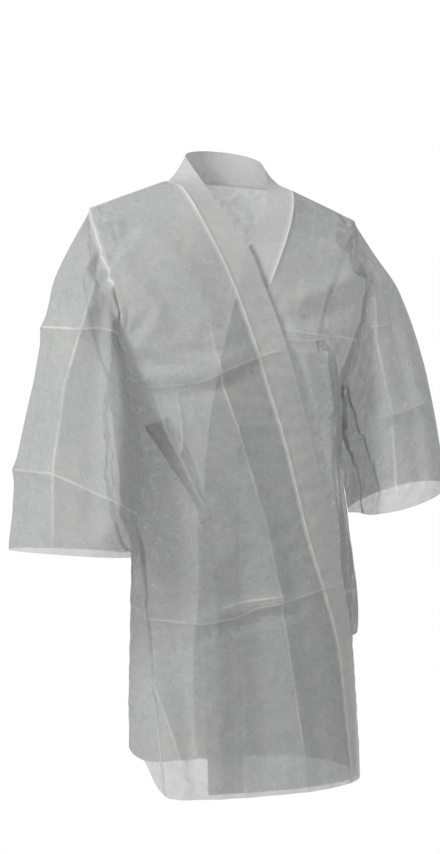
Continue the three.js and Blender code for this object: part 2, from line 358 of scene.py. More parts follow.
def coordinates(piece):
    found = np.empty(len(piece.data.vertices) * 3, np.float32)
    piece.data.vertices.foreach_get("co", found)
    return found.reshape(-1, 3).astype(float)


def normals(piece):
    found = np.empty(len(piece.data.vertices) * 3, np.float32)
    piece.data.vertices.foreach_get("normal", found)
    return found.reshape(-1, 3).astype(float)


def move_points(piece, places):
    piece.data.vertices.foreach_set("co", np.asarray(places, np.float32).ravel())
    piece.data.update()


def apply_modifiers(piece):
    """Leaves the piece as the plain mesh that its modifiers make."""
    graph = bpy.context.evaluated_depsgraph_get()
    graph.update()
    finished = bpy.data.meshes.new_from_object(piece.evaluated_get(graph), preserve_all_data_layers=True,
                                               depsgraph=graph)
    old = piece.data
    piece.modifiers.clear()
    piece.data = finished
    finished.name = piece.name
    bpy.data.meshes.remove(old)


# ---------------------------------------------------------------- draping


def dress_form():
    """A plain torso and arms inside the gown, which the cloth settles on. It is removed afterwards."""
    levels = np.linspace(-0.955, -0.03, 60)
    angles = np.linspace(0, 2 * np.pi, 65)[:-1]
    grid = body_point(angles[None, :] * np.ones((60, 1)), levels[:, None] * np.ones((1, 64)))
    side_room = np.interp(levels, (-0.94, -0.6, -0.45, -0.3, -0.05), (0.035, 0.022, 0.020, 0.030, 0.016))
    room = np.interp(levels, (-0.94, -0.6, -0.43, -0.27, -0.05), (0.055, 0.026, 0.030, 0.018, 0.010))
    centre_x, centre_y = along(MIDDLE_X, levels), along(MIDDLE_Y, levels)
    half_y = np.abs(grid[..., 1] - centre_y[:, None]).max(axis=1)
    half_x = np.abs(grid[..., 0] - centre_x[:, None]).max(axis=1)
    grid[..., 0] = centre_x[:, None] + (grid[..., 0] - centre_x[:, None]) * (1 - side_room / half_x)[:, None]
    scale_y = np.clip(1 - room / np.maximum(half_y, 0.02), 0.2, 1)
    grid[..., 1] = centre_y[:, None] + (grid[..., 1] - centre_y[:, None]) * scale_y[:, None]
    tubes = [grid]
    for route in ([(-0.175, 0, -0.09), (-0.222, -0.02, -0.25), (-0.238, -0.05, -0.40),
                   (-0.232, -0.12, -0.60)],
                  [(0.175, 0, -0.09), (0.226, 0.01, -0.24), (0.248, 0.010, -0.38),
                   (0.270, -0.03, -0.56)]):
        centres = curve_through(route, np.linspace(0, 1, 24))
        around = np.linspace(0, 2 * np.pi, 25)[:-1]
        radius = np.interp(np.linspace(0, 1, 24), (0, 0.3, 1), (0.056, 0.044, 0.034))
        ring = np.stack([np.cos(around), np.sin(around), np.zeros(24)], -1)
        tubes.append(centres[:, None, :] + ring[None] * radius[:, None, None])
    points, faces = [], []
    for tube in tubes:
        rows, columns = tube.shape[:2]
        base = len(points)
        points.extend(tube.reshape(-1, 3))
        for row in range(rows - 1):
            for column in range(columns):
                following = (column + 1) % columns
                faces.append((base + row * columns + column, base + row * columns + following,
                              base + (row + 1) * columns + following, base + (row + 1) * columns + column))
    form = mesh_object("dress_form", points, faces)
    collider = form.modifiers.new("Body", "COLLISION")
    collider.settings.thickness_outer = 0.003
    collider.settings.cloth_friction = 12
    return form


def hold_weights(points, pieces):
    """How firmly each point keeps its place: fully at the neck and shoulders, loosely elsewhere."""
    weight = 0.42 + 0.43 * smooth(points[:, 2], -0.30, -0.08)
    for name in ("right_front_band", "left_front_band"):
        used = np.unique(pieces[name]["index"])
        weight[used] = np.maximum(weight[used], 0.6)
    for name in ("right_sleeve", "left_sleeve"):
        grid = pieces[name]["index"]
        rows, columns = grid.shape
        from_top = np.abs((np.arange(columns) + columns // 2) % (columns - 1) - columns // 2) / (columns / 2)
        top = 0.5 + 0.5 * (1 - smooth(from_top, 0.25, 0.7))
        down = 1 - smooth(np.arange(rows), 0.45 * rows, 1.1 * rows)
        weight[grid] = np.maximum(weight[grid], top[None, :] * (0.55 + 0.45 * down[:, None]))
        weight[grid[:2]] = 0.9
        weight[grid[-3:]] = 0.7
    shoulder = np.abs(points[:, 1]) < 0.004
    weight[shoulder & (points[:, 2] > -0.06)] = 1
    weight[np.unique(pieces["neckband"]["index"])] = 1
    return weight


def drape(points, pieces, shape):
    """Lets the sewn cloth settle under gravity, a little too large for its form, so that it buckles."""
    faces = [face for piece in pieces.values() for face in piece["faces"]]
    gown = mesh_object("sewn_gown", points, faces)
    group = gown.vertex_groups.new(name="hold")
    snug = gown.vertex_groups.new(name="snug")
    for index, weight in enumerate(hold_weights(points, pieces)):
        group.add([index], float(weight), "REPLACE")
        snug.add([index], float(smooth(weight, 0.5, 0.85)), "REPLACE")
    form = dress_form()
    cloth = gown.modifiers.new("Drape", "CLOTH")
    settings = cloth.settings
    settings.quality = 6
    settings.mass = 0.12
    settings.tension_stiffness = settings.compression_stiffness = 14
    settings.shear_stiffness = 8
    settings.bending_stiffness = shape.cloth_stiffness
    settings.tension_damping = settings.compression_damping = 12
    settings.air_damping = 4
    settings.shrink_min = -shape.fullness
    settings.shrink_max = 0
    settings.vertex_group_shrink = "snug"
    settings.vertex_group_mass = "hold"
    settings.pin_stiffness = 1.0
    cloth.collision_settings.use_collision = True
    cloth.collision_settings.distance_min = 0.003
    cloth.collision_settings.use_self_collision = True
    cloth.collision_settings.self_distance_min = 0.003
    last = shape.drape_frames
    cloth.point_cache.frame_start = 1
    cloth.point_cache.frame_end = last
    scene = bpy.context.scene
    for number in range(1, last + 1):
        scene.frame_set(number)
    apply_modifiers(gown)
    settled = coordinates(gown)
    bpy.data.objects.remove(gown)
    bpy.data.objects.remove(form)
    scene.frame_set(1)
    return settled


# ---------------------------------------------------------------- creases

# Sharp creases from the folded pack, as a height in metres and points of (x, z) seen from the front.
CREASES = {
    "outer": {
        "across": [(0.0020, [(-0.175, -0.324), (-0.135, -0.325), (-0.086, -0.319), (-0.056, -0.304),
                             (-0.009, -0.285), (0.030, -0.272), (0.062, -0.270)]),
                   (0.0018, [(-0.176, -0.668), (-0.157, -0.674), (-0.087, -0.680), (-0.035, -0.672),
                             (0.005, -0.658), (0.050, -0.650), (0.107, -0.636), (0.170, -0.624)]),
                   (0.0011, [(-0.062, -0.658), (-0.030, -0.651), (-0.011, -0.648), (0.050, -0.641)])],
        "up": [(0.0018, [(-0.074, -0.190), (-0.068, -0.250), (-0.056, -0.304), (-0.023, -0.406),
                         (0.015, -0.534), (0.037, -0.648), (0.051, -0.747), (0.080, -0.945)]),
               (0.0022, [(-0.172, -0.420), (-0.165, -0.474), (-0.163, -0.620), (-0.152, -0.767),
                         (-0.126, -0.854), (-0.100, -0.955)]),
               (0.0022, [(-0.150, -0.322), (-0.133, -0.387), (-0.108, -0.435), (-0.074, -0.516)]),
               (0.0014, [(-0.117, -0.323), (-0.113, -0.376), (-0.111, -0.438)])]},
    "inner": {
        "across": [(0.0014, [(0.040, -0.250), (0.083, -0.254), (0.122, -0.250)]),
                   (0.0016, [(0.052, -0.238), (0.092, -0.243), (0.130, -0.246), (0.195, -0.250)]),
                   (0.0012, [(-0.080, -0.672), (0.060, -0.655), (0.205, -0.640)])],
        "up": [(0.0020, [(0.119, -0.244), (0.143, -0.290), (0.160, -0.345), (0.163, -0.385),
                         (0.150, -0.440), (0.166, -0.520), (0.170, -0.640)])]},
    "back": {
        "across": [(0.0018, [(-0.200, -0.322), (-0.060, -0.312), (0.080, -0.318), (0.200, -0.306)]),
                   (0.0018, [(-0.200, -0.668), (-0.020, -0.660), (0.120, -0.666), (0.215, -0.652)])],
        "up": [(0.0018, [(0.004, -0.010), (0.000, -0.300), (0.010, -0.640), (0.022, -0.945)])]},
    "right_sleeve": {
        "across": [(0.0018, [(-0.330, -0.238), (-0.304, -0.236), (-0.268, -0.242), (-0.229, -0.240),
                             (-0.190, -0.250)]),
                   (0.0018, [(-0.375, -0.446), (-0.345, -0.450), (-0.315, -0.454), (-0.275, -0.473),
                             (-0.205, -0.508), (-0.180, -0.516)])],
        "up": [(0.0018, [(-0.226, -0.120), (-0.234, -0.165), (-0.261, -0.236), (-0.290, -0.325),
                         (-0.314, -0.448), (-0.320, -0.575)])]},
    "left_sleeve": {
        "across": [(0.0016, [(0.190, -0.224), (0.221, -0.226), (0.252, -0.222)]),
                   (0.0014, [(0.225, -0.372), (0.267, -0.360), (0.320, -0.340)])],
        "up": [(0.0020, [(0.216, -0.140), (0.219, -0.168), (0.222, -0.248), (0.241, -0.343),
                         (0.251, -0.446), (0.256, -0.530)])]},
}
CREASES_OF = {"right_front": "outer", "right_front_band": "outer", "left_front": "inner",
              "left_front_band": "inner", "back_panel": "back", "right_sleeve": "right_sleeve",
              "left_sleeve": "left_sleeve"}
# Broad folds that the cloth has before it settles: height outwards, reach, and points of (x, z).
FOLDS = {
    ("right_front", "right_front_band"): [
        (0.006, 0.014, [(-0.190, -0.312), (-0.140, -0.312), (-0.086, -0.308), (-0.050, -0.292), (0, -0.272)]),
        (-0.005, 0.012, [(-0.185, -0.345), (-0.120, -0.345), (-0.060, -0.332), (-0.020, -0.312)]),
        (-0.006, 0.010, [(-0.140, -0.395), (-0.110, -0.445), (-0.078, -0.515)]),
        (0.005, 0.010, [(-0.146, -0.340), (-0.120, -0.385), (-0.095, -0.430), (-0.070, -0.490)]),
        (0.004, 0.009, [(-0.116, -0.330), (-0.112, -0.380), (-0.110, -0.430)]),
        (0.005, 0.016, [(-0.175, -0.070), (-0.132, -0.113), (-0.084, -0.181), (-0.060, -0.240)]),
        (-0.005, 0.014, [(-0.190, -0.130), (-0.150, -0.165), (-0.120, -0.230), (-0.110, -0.290)]),
        (0.004, 0.010, [(-0.170, -0.290), (-0.153, -0.234), (-0.138, -0.197)]),
        (0.006, 0.020, [(-0.056, -0.330), (0.015, -0.534), (0.051, -0.747), (0.080, -0.950)]),
        (-0.006, 0.020, [(-0.030, -0.560), (0.000, -0.700), (0.010, -0.950)]),
        (0.005, 0.018, [(-0.080, -0.560), (-0.060, -0.700), (-0.062, -0.950)]),
        (-0.005, 0.018, [(-0.110, -0.690), (-0.106, -0.820), (-0.100, -0.950)]),
        (0.008, 0.010, [(-0.165, -0.474), (-0.160, -0.620), (-0.147, -0.767), (-0.126, -0.854),
                        (-0.100, -0.990)]),
        (-0.006, 0.014, [(-0.136, -0.560), (-0.120, -0.767), (-0.092, -0.880)]),
        (0.004, 0.012, [(-0.180, -0.664), (-0.087, -0.672), (-0.010, -0.654), (0.060, -0.642)]),
        (-0.004, 0.010, [(-0.060, -0.688), (0.000, -0.676), (0.080, -0.664)])],
    ("left_front",): [
        (0.009, 0.013, [(0.066, -0.184), (0.110, -0.180), (0.150, -0.166), (0.205, -0.130)]),
        (-0.008, 0.013, [(0.075, -0.215), (0.120, -0.212), (0.170, -0.196), (0.215, -0.175)]),
        (-0.010, 0.010, [(0.184, -0.048), (0.205, -0.100), (0.222, -0.140)]),
        (0.007, 0.010, [(0.119, -0.244), (0.143, -0.290), (0.158, -0.360), (0.140, -0.430), (0.160, -0.520)]),
        (-0.006, 0.010, [(0.100, -0.270), (0.122, -0.320), (0.130, -0.390)]),
        (0.003, 0.006, [(0.052, -0.236), (0.092, -0.241), (0.125, -0.242)]),
        (0.006, 0.018, [(0.150, -0.560), (0.168, -0.750), (0.180, -0.950)]),
        (-0.006, 0.018, [(0.188, -0.600), (0.204, -0.780), (0.215, -0.950)])],
    ("right_sleeve",): [
        (0.007, 0.013, [(-0.222, -0.110), (-0.240, -0.190), (-0.261, -0.236), (-0.290, -0.325),
                        (-0.314, -0.448), (-0.322, -0.580)]),
        (-0.007, 0.014, [(-0.216, -0.160), (-0.236, -0.260), (-0.255, -0.380), (-0.270, -0.560)]),
        (0.006, 0.014, [(-0.200, -0.230), (-0.212, -0.320), (-0.225, -0.430), (-0.238, -0.560)]),
        (-0.006, 0.016, [(-0.262, -0.160), (-0.300, -0.250), (-0.335, -0.380), (-0.352, -0.560)]),
        (0.005, 0.010, [(-0.340, -0.236), (-0.268, -0.240), (-0.200, -0.250)]),
        (0.005, 0.012, [(-0.375, -0.446), (-0.315, -0.454), (-0.275, -0.473), (-0.190, -0.514)])],
    ("left_sleeve",): [
        (0.008, 0.012, [(0.214, -0.130), (0.222, -0.248), (0.241, -0.343), (0.251, -0.446), (0.258, -0.530)]),
        (-0.008, 0.013, [(0.206, -0.200), (0.204, -0.300), (0.215, -0.400), (0.225, -0.500)]),
        (-0.007, 0.014, [(0.246, -0.150), (0.262, -0.260), (0.282, -0.360), (0.290, -0.500)]),
        (0.006, 0.012, [(0.196, -0.230), (0.222, -0.190), (0.250, -0.160)]),
        (0.005, 0.012, [(0.225, -0.372), (0.267, -0.360), (0.330, -0.335)])],
    ("back_panel",): [
        (0.010, 0.026, [(-0.120, -0.060), (-0.125, -0.350), (-0.120, -0.950)]),
        (-0.009, 0.022, [(-0.066, -0.090), (-0.060, -0.400), (-0.056, -0.950)]),
        (0.009, 0.024, [(0.010, -0.110), (0.004, -0.450), (0.024, -0.950)]),
        (-0.009, 0.024, [(0.078, -0.090), (0.072, -0.400), (0.090, -0.950)]),
        (0.010, 0.022, [(0.132, -0.060), (0.130, -0.350), (0.150, -0.950)]),
        (-0.024, 0.045, [(-0.176, -0.520), (-0.180, -0.990)]),
        (0.006, 0.016, [(-0.190, -0.110), (-0.100, -0.170), (-0.020, -0.180)]),
        (0.006, 0.016, [(0.195, -0.110), (0.100, -0.180), (0.030, -0.190)])],
}
CREASE_REACH = 0.006
SEAM_RIB = 0.0010
# The back hem is hitched up towards the wearer's right side.
HITCH = 0.046
HITCH_X = -0.170


def crease_distance(places, points):
    """Signed distance from a crease in the front view, and how much of the crease is left there."""
    points = np.array(points, float)
    best = np.full(len(places), np.inf)
    signed = np.zeros(len(places))
    share = np.zeros(len(places))
    length = shares(points)
    for number, (a, b) in enumerate(zip(points[:-1], points[1:])):
        step = b - a
        t = np.clip((places - a) @ step / (step @ step), 0, 1)
        apart = places - (a + t[:, None] * step)
        distance = np.linalg.norm(apart, axis=1)
        closer = distance < best
        side = np.sign(step[0] * apart[:, 1] - step[1] * apart[:, 0])
        best = np.where(closer, distance, best)
        signed = np.where(closer, distance * side, signed)
        share = np.where(closer, length[number] + t * (length[number + 1] - length[number]), share)
    fade = smooth(share, 0, 0.12) * (1 - smooth(share, 0.88, 1))
    return signed, fade


def fold(points, pieces):
    """Gives the sewn cloth its broad folds, along its own normals."""
    faces = [face for piece in pieces.values() for face in piece["faces"]]
    sewn = mesh_object("sewn", points, faces)
    outwards = normals(sewn)
    bpy.data.objects.remove(sewn)
    lift = np.zeros(len(points))
    for names, folds in FOLDS.items():
        used = np.unique(np.concatenate([pieces[name]["index"].ravel() for name in names]))
        for height, reach, route in folds:
            signed, fade = crease_distance(points[used][:, (0, 2)], route)
            lift[used] += height * fade * np.exp(-(signed / reach) ** 2)
    lift[np.unique(pieces["neckband"]["index"])] = 0
    lift *= 1 - smooth(points[:, 2], -0.06, -0.02)
    x, y, z = points.T
    beside = np.exp(-((x - HITCH_X) / 0.055) ** 2) * smooth(y, -0.115, -0.04)
    hitch = HITCH * beside * (1 - smooth(z, HEM_Z, -0.740))
    return points + lift[:, None] * outwards + hitch[:, None] * np.array((0, 0, 1))


def add_creases(piece, creases):
    """Raises the creases as small ridges and keeps each point's distance from them for the cloth."""
    places = coordinates(piece)
    lift = np.zeros(len(places))
    for direction in ("across", "up"):
        nearest = np.full(len(places), 1.0)
        strength = np.zeros(len(places))
        for height, points in creases.get(direction, ()):
            signed, fade = crease_distance(places[:, (0, 2)], points)
            lift += height * fade * np.exp(-np.abs(signed) / CREASE_REACH)
            closer = np.abs(signed) < np.abs(nearest)
            nearest = np.where(closer, signed, nearest)
            strength = np.where(closer, fade * (1 - smooth(np.abs(signed), 0.008, 0.012)), strength)
        values = np.stack([nearest, strength, np.zeros(len(places))], -1)
        layer = piece.data.attributes.new("crease_" + direction, "FLOAT_VECTOR", "POINT")
        layer.data.foreach_set("vector", values.astype(np.float32).ravel())
    move_points(piece, places + lift[:, None] * normals(piece))


def add_distance(piece, name, route):
    """Keeps each point's distance from a seam or hem, in metres."""
    tree = KDTree(len(route))
    for number, place in enumerate(route):
        tree.insert(place, number)
    tree.balance()
    found = np.array([tree.find(place)[2] for place in coordinates(piece)], np.float32)
    piece.data.attributes.new(name, "FLOAT", "POINT").data.foreach_set("value", found)


# ---------------------------------------------------------------- materials


def colour(code):
    """A linear colour from an sRGB hex code."""
    parts = [int(code[i:i + 2], 16) / 255 for i in (0, 2, 4)]
    return tuple([c / 12.92 if c <= 0.04045 else ((c + 0.055) / 1.055) ** 2.4 for c in parts] + [1.0])


def add(tree, kind, links=(), **settings):
    """Adds a node, with its settings, and its inputs as (input, value or another node's output)."""
    node = tree.nodes.new(kind)
    for name, value in settings.items():
        setattr(node, name, value)
    for socket, value in dict(links).items():
        if isinstance(value, bpy.types.NodeSocket):
            tree.links.new(value, node.inputs[socket])
        else:
            node.inputs[socket].default_value = value
    return node


def maths(tree, operation, first, second=0.0, third=0.0):
    links = {0: first, 1: second, 2: third}
    return add(tree, "ShaderNodeMath", links, operation=operation).outputs[0]


def ramp_down(tree, value, full, none):
    """1 where the value is below full, 0 above none."""
    links = {"Value": value, "From Min": full, "From Max": none, "To Min": 1.0, "To Max": 0.0}
    return add(tree, "ShaderNodeMapRange", links, interpolation_type="SMOOTHSTEP").outputs["Result"]


def spunbond(name, shape, cover, doubled, thin, thick):
    """Spunbond polypropylene, about 40 g/m2: a web of white fibres that one can see through.

    Its fibres are 0.02 mm thick and its bond points 1.5 mm apart, too fine for a whole gown, so the
    fibres are drawn as streaks 1 to 2 mm wide and the bond points 4.5 mm apart.
    """
    material = bpy.data.materials.new(name)
    material.use_nodes = True
    tree = material.node_tree
    shader = tree.nodes["Principled BSDF"]
    flat = add(tree, "ShaderNodeUVMap", uv_map="Flat").outputs["UV"]
    cloud = add(tree, "ShaderNodeTexNoise", {"Vector": flat, "Scale": 75.0, "Detail": 3.0,
                                             "Roughness": 0.6}).outputs["Fac"]
    drift = add(tree, "ShaderNodeTexNoise", {"Vector": flat, "Scale": 9.0, "Detail": 1.0}).outputs["Fac"]
    lay = add(tree, "ShaderNodeMapping", {"Vector": flat, "Scale": (420.0, 110.0, 1.0),
                                          "Rotation": (0.0, 0.0, 0.35)}).outputs["Vector"]
    fibres = add(tree, "ShaderNodeTexNoise", {"Vector": lay, "Scale": 1.0, "Detail": 3.0,
                                              "Roughness": 0.7, "Distortion": 0.6}).outputs["Fac"]
    split = add(tree, "ShaderNodeSeparateXYZ", {"Vector": flat})
    waves = []
    for combine in ("ADD", "SUBTRACT"):
        diagonal = maths(tree, combine, split.outputs["X"], split.outputs["Y"])
        waves.append(maths(tree, "SINE", maths(tree, "MULTIPLY", diagonal, 2 * math.pi / shape.bond_pitch)))
    bonds = maths(tree, "MULTIPLY", waves[0], waves[1])
    crease = 0.0
    for direction in ("crease_across", "crease_up"):
        read = add(tree, "ShaderNodeAttribute", attribute_name=direction).outputs["Vector"]
        parts = add(tree, "ShaderNodeSeparateXYZ", {"Vector": read})
        wander = maths(tree, "MULTIPLY_ADD", cloud, 0.0016, -0.0008)
        apart = maths(tree, "ABSOLUTE", maths(tree, "ADD", parts.outputs["X"], wander))
        line = maths(tree, "MULTIPLY", ramp_down(tree, apart, 0.0, 0.0030), parts.outputs["Y"])
        crease = maths(tree, "MAXIMUM", line, crease)
    seam = add(tree, "ShaderNodeAttribute", attribute_name="seam").outputs["Fac"]
    edge = ramp_down(tree, seam, shape.seam_allowance - 0.0006, shape.seam_allowance + 0.0006)
    rib = ramp_down(tree, seam, 0.0012, 0.0030)
    web = maths(tree, "MULTIPLY_ADD", cloud, 0.68, maths(tree, "MULTIPLY", fibres, 0.32))
    alpha = maths(tree, "MULTIPLY_ADD", maths(tree, "SUBTRACT", cloud, 0.5), 0.35, cover)
    alpha = maths(tree, "MULTIPLY_ADD", edge, doubled - cover, alpha)
    fading = add(tree, "ShaderNodeMapRange", {"Value": drift, "From Min": 0.35, "From Max": 0.65,
                                              "To Min": 0.35}).outputs["Result"]
    crease = maths(tree, "MULTIPLY", crease, fading)
    # Creases are drawn whiter: partly a painted highlight on the raised crease ridge, partly the denser
    # folded cloth. Seams and hems are whiter where the cloth lies doubled.
    bright = maths(tree, "MAXIMUM", crease, maths(tree, "MAXIMUM", rib, maths(tree, "MULTIPLY", edge, 0.35)))
    alpha = maths(tree, "MULTIPLY_ADD", maths(tree, "MAXIMUM", crease, rib), 0.16, alpha)
    alpha = add(tree, "ShaderNodeClamp", {"Value": alpha, "Min": 0.2, "Max": 0.95}).outputs["Result"]
    tone = maths(tree, "MULTIPLY_ADD", drift, 0.5, maths(tree, "MULTIPLY", web, 0.5))
    tint = add(tree, "ShaderNodeMix", {"Factor": tone, "A": colour(thin), "B": colour(thick)},
               data_type="RGBA")
    # The base colour is mixed towards near-white by the painted crease highlight and by the whiter doubled
    # seams.
    painted_crease_highlight_and_seam_white = maths(tree, "MULTIPLY", bright, 0.7)
    lit = add(tree, "ShaderNodeMix", {"Factor": painted_crease_highlight_and_seam_white, "A": tint.outputs["Result"],
                                      "B": colour("f6f6f4")}, data_type="RGBA")
    rough = maths(tree, "MULTIPLY_ADD", web, 0.22, 0.70)
    height = maths(tree, "MULTIPLY_ADD", web, 0.9, maths(tree, "MULTIPLY", bonds, 0.18))
    height = maths(tree, "MULTIPLY_ADD", crease, 0.8, height)
    height = maths(tree, "MULTIPLY_ADD", edge, 0.6, height)
    height = maths(tree, "MULTIPLY_ADD", rib, 1.2, height)
    bump = add(tree, "ShaderNodeBump", {"Height": height, "Strength": 0.45, "Distance": 0.0010})
    tree.links.new(alpha, shader.inputs["Alpha"])
    tree.links.new(lit.outputs["Result"], shader.inputs["Base Color"])
    tree.links.new(rough, shader.inputs["Roughness"])
    tree.links.new(bump.outputs["Normal"], shader.inputs["Normal"])
    shader.inputs["Specular IOR Level"].default_value = 0.35
    shader.inputs["Sheen Weight"].default_value = 0.10
    shader.inputs["Sheen Roughness"].default_value = 0.5
    return material


def thread_material():
    """White spun polyester sewing thread, with a twist drawn along its stitches."""
    material = bpy.data.materials.new("polyester_thread")
    material.use_nodes = True
    tree = material.node_tree
    shader = tree.nodes["Principled BSDF"]
    place = add(tree, "ShaderNodeTexCoord").outputs["Object"]
    twist = add(tree, "ShaderNodeTexWave", {"Vector": place, "Scale": 900.0,
                                            "Distortion": 2.0}).outputs["Fac"]
    tint = add(tree, "ShaderNodeMix", {"Factor": twist, "A": colour("c9ccd0"), "B": colour("f4f4f2")},
               data_type="RGBA")
    bump = add(tree, "ShaderNodeBump", {"Height": twist, "Strength": 0.4, "Distance": 0.0002})
    tree.links.new(tint.outputs["Result"], shader.inputs["Base Color"])
    tree.links.new(bump.outputs["Normal"], shader.inputs["Normal"])
    shader.inputs["Roughness"].default_value = 0.55
    return material


# ---------------------------------------------------------------- settings


class GownShape(bpy.types.PropertyGroup):
    drape_frames: IntProperty(name="Drape frames", description="Steps that the cloth settles for",
                              default=26, min=2, max=60)
    cloth_stiffness: FloatProperty(name="Stiffness", description="Bending stiffness of the cloth",
                                   default=4.0, min=0.05, max=20)
    fullness: FloatProperty(name="Fullness", description="How much larger than its form the cloth is cut",
                            default=0.022, min=0, max=0.1)
    thickness: FloatProperty(name="Thickness", description="Thickness of one layer of cloth",
                             default=0.0005, min=0.0002, max=0.003, unit="LENGTH")
    seam_allowance: FloatProperty(name="Seam allowance", description="Width of the doubled cloth at a seam",
                                  default=0.0055, min=0.003, max=0.02, unit="LENGTH")
    bond_pitch: FloatProperty(name="Bond pitch", description="Spacing of the bond points as drawn",
                              default=0.0045, min=0.001, max=0.01, unit="LENGTH")
    cover: FloatProperty(name="Cover", description="How much one face of single cloth hides",
                         default=0.41, min=0.1, max=1)
    band_cover: FloatProperty(name="Band cover", description="How much one face of doubled cloth hides",
                              default=0.66, min=0.1, max=1)


class GownStitch(bpy.types.PropertyGroup):
    pitch: FloatProperty(name="Stitch pitch", description="From one stitch to the next",
                         default=0.0055, min=0.002, max=0.02, unit="LENGTH")
    length: FloatProperty(name="Stitch length", description="Length of thread that shows in a stitch",
                          default=0.0040, min=0.001, max=0.02, unit="LENGTH")
    radius: FloatProperty(name="Thread radius", description="Half the thickness of the thread",
                          default=0.0002, min=0.0001, max=0.002, unit="LENGTH")


class GownStage(bpy.types.PropertyGroup):
    azimuth: FloatProperty(name="Camera azimuth", description="How far the camera stands round the gown",
                           default=math.radians(-20), subtype="ANGLE")
    distance: FloatProperty(name="Camera distance", description="From the camera to the gown's axis",
                            default=2.5, min=0.5, max=10, unit="LENGTH")
    height: FloatProperty(name="Camera height", description="Height of the camera",
                          default=-0.386, unit="LENGTH")
    focal: FloatProperty(name="Focal length", description="Lens of the camera in millimetres",
                         default=66.4, min=20, max=200)
    floor: FloatProperty(name="Floor height", description="Height of the floor",
                         default=-1.45, unit="LENGTH")


# ---------------------------------------------------------------- pieces

SHEETS = {
    "right_front": ("right_front_panel_cloth", ("gown", "front_flap"), False,
                    ("right_front_yoke", "right_front_side", "right_front_flap")),
    "right_front_band": ("right_front_band_cloth", ("gown", "front_flap"), True, ("right_front_band",)),
    "left_front": ("left_front_panel_cloth", ("gown",), False, ("left_front_panel",)),
    "left_front_band": ("left_front_band_cloth", ("gown",), True, ("left_front_band",)),
    "back_panel": ("back_panel_cloth", ("gown",), False, ("back_panel",)),
    "neckband": ("neckband_cloth", ("gown",), True, ("neckband",)),
    "right_sleeve": ("right_sleeve_cloth", ("gown", "right_sleeve"), False, ("right_sleeve",)),
    "left_sleeve": ("left_sleeve_cloth", ("gown", "left_sleeve"), False, ("left_sleeve",)),
}


def attach(piece, bodies):
    """A piece on one body rides on it. A piece on two keeps its place, with its transform baked into its
    mesh.
    """
    if len(bodies) == 1:
        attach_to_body(piece, bodies[0])
        return
    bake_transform(piece)


def seam_lines(pieces):
    """Lines of stitches: the piece each is sewn on, its points at the seam and those one cell away."""
    index = {name: piece["index"] for name, piece in pieces.items()}
    lowest = len(index["right_front"]) - 30
    lines = []
    for name in ("right_front_band", "left_front_band"):
        grid = index[name]
        lines += [(name, grid[:, 0], grid[:, 1]), (name, grid[:, -1], grid[:, -2])]
    lines += [("neckband", index["neckband"][0], index["neckband"][1]),
              ("neckband", index["neckband"][-1], index["neckband"][-2]),
              ("right_front_band", index["right_front_band"][-1], index["right_front_band"][-2]),
              ("right_front", index["right_front"][:lowest, 0], index["right_front"][:lowest, 1]),
              ("left_front", index["left_front"][:lowest, -1], index["left_front"][:lowest, -2])]
    for name in ("right_sleeve", "left_sleeve"):
        under = index[name].shape[1] // 2
        lines += [(name, index[name][0], index[name][1]),
                  (name, index[name][:, under], index[name][:, under + 1])]
    return lines


def doubled_edges(settled, pieces):
    """Close points along every sewn edge, where the cloth's own edge makes it double."""
    index = {name: piece["index"] for name, piece in pieces.items()}
    lowest = len(index["right_front"]) - 30
    rows = [index["right_front"][:, 0], index["left_front"][:, -1], index["back_panel"][:lowest, 0],
            index["right_front"][-1], index["left_front"][-1], index["back_panel"][-1],
            index["right_front"][:, -1], index["left_front"][:, 0]]
    for name in ("right_sleeve", "left_sleeve"):
        rows += [index[name][0], index[name][:, index[name].shape[1] // 2]]
    steps = np.linspace(0, 1, 9)[:-1, None, None]
    return np.concatenate([(settled[row[:-1]] * (1 - steps) + settled[row[1:]] * steps).reshape(-1, 3)
                           for row in rows])


def finish_sheet(key, name, settled, piece, hems, shape, material):
    """One cut piece of the gown as its own object, creased, thickened and with its own finish."""
    used, faces = np.unique(np.array(piece["faces"]), return_inverse=True)
    sheet = mesh_object(name, settled[used], faces.reshape(-1, 4), piece["uvs"])
    rounder = sheet.modifiers.new("Round", "SUBSURF")
    rounder.levels = rounder.render_levels = 1 if key == "back_panel" else 2
    rounder.boundary_smooth = "PRESERVE_CORNERS"
    rounder.uv_smooth = "NONE"
    apply_modifiers(sheet)
    add_creases(sheet, CREASES[CREASES_OF[key]] if key in CREASES_OF else {})
    add_distance(sheet, "seam", hems)
    apart = np.empty(len(sheet.data.vertices), np.float32)
    sheet.data.attributes["seam"].data.foreach_get("value", apart)
    rib = SEAM_RIB * (1 - smooth(apart, 0.0, 0.005))
    move_points(sheet, coordinates(sheet) + rib[:, None] * normals(sheet))
    surface = BVHTree.FromPolygons([v.co[:] for v in sheet.data.vertices],
                                   [p.vertices[:] for p in sheet.data.polygons])
    thicken = sheet.modifiers.new("Thickness", "SOLIDIFY")
    thicken.thickness = shape.thickness
    thicken.offset = -1
    apply_modifiers(sheet)
    sheet.data.shade_smooth()
    sheet.data.set_sharp_from_angle(angle=SHARP_ANGLE)
    sheet.data.materials.append(material)
    return sheet, surface


def on_surface(surface, route, lift):
    """The route laid on a surface, a little proud of it."""
    laid = []
    for place in route:
        point, normal, _, _ = surface.find_nearest(place)
        laid.append(point + normal * lift)
    return laid


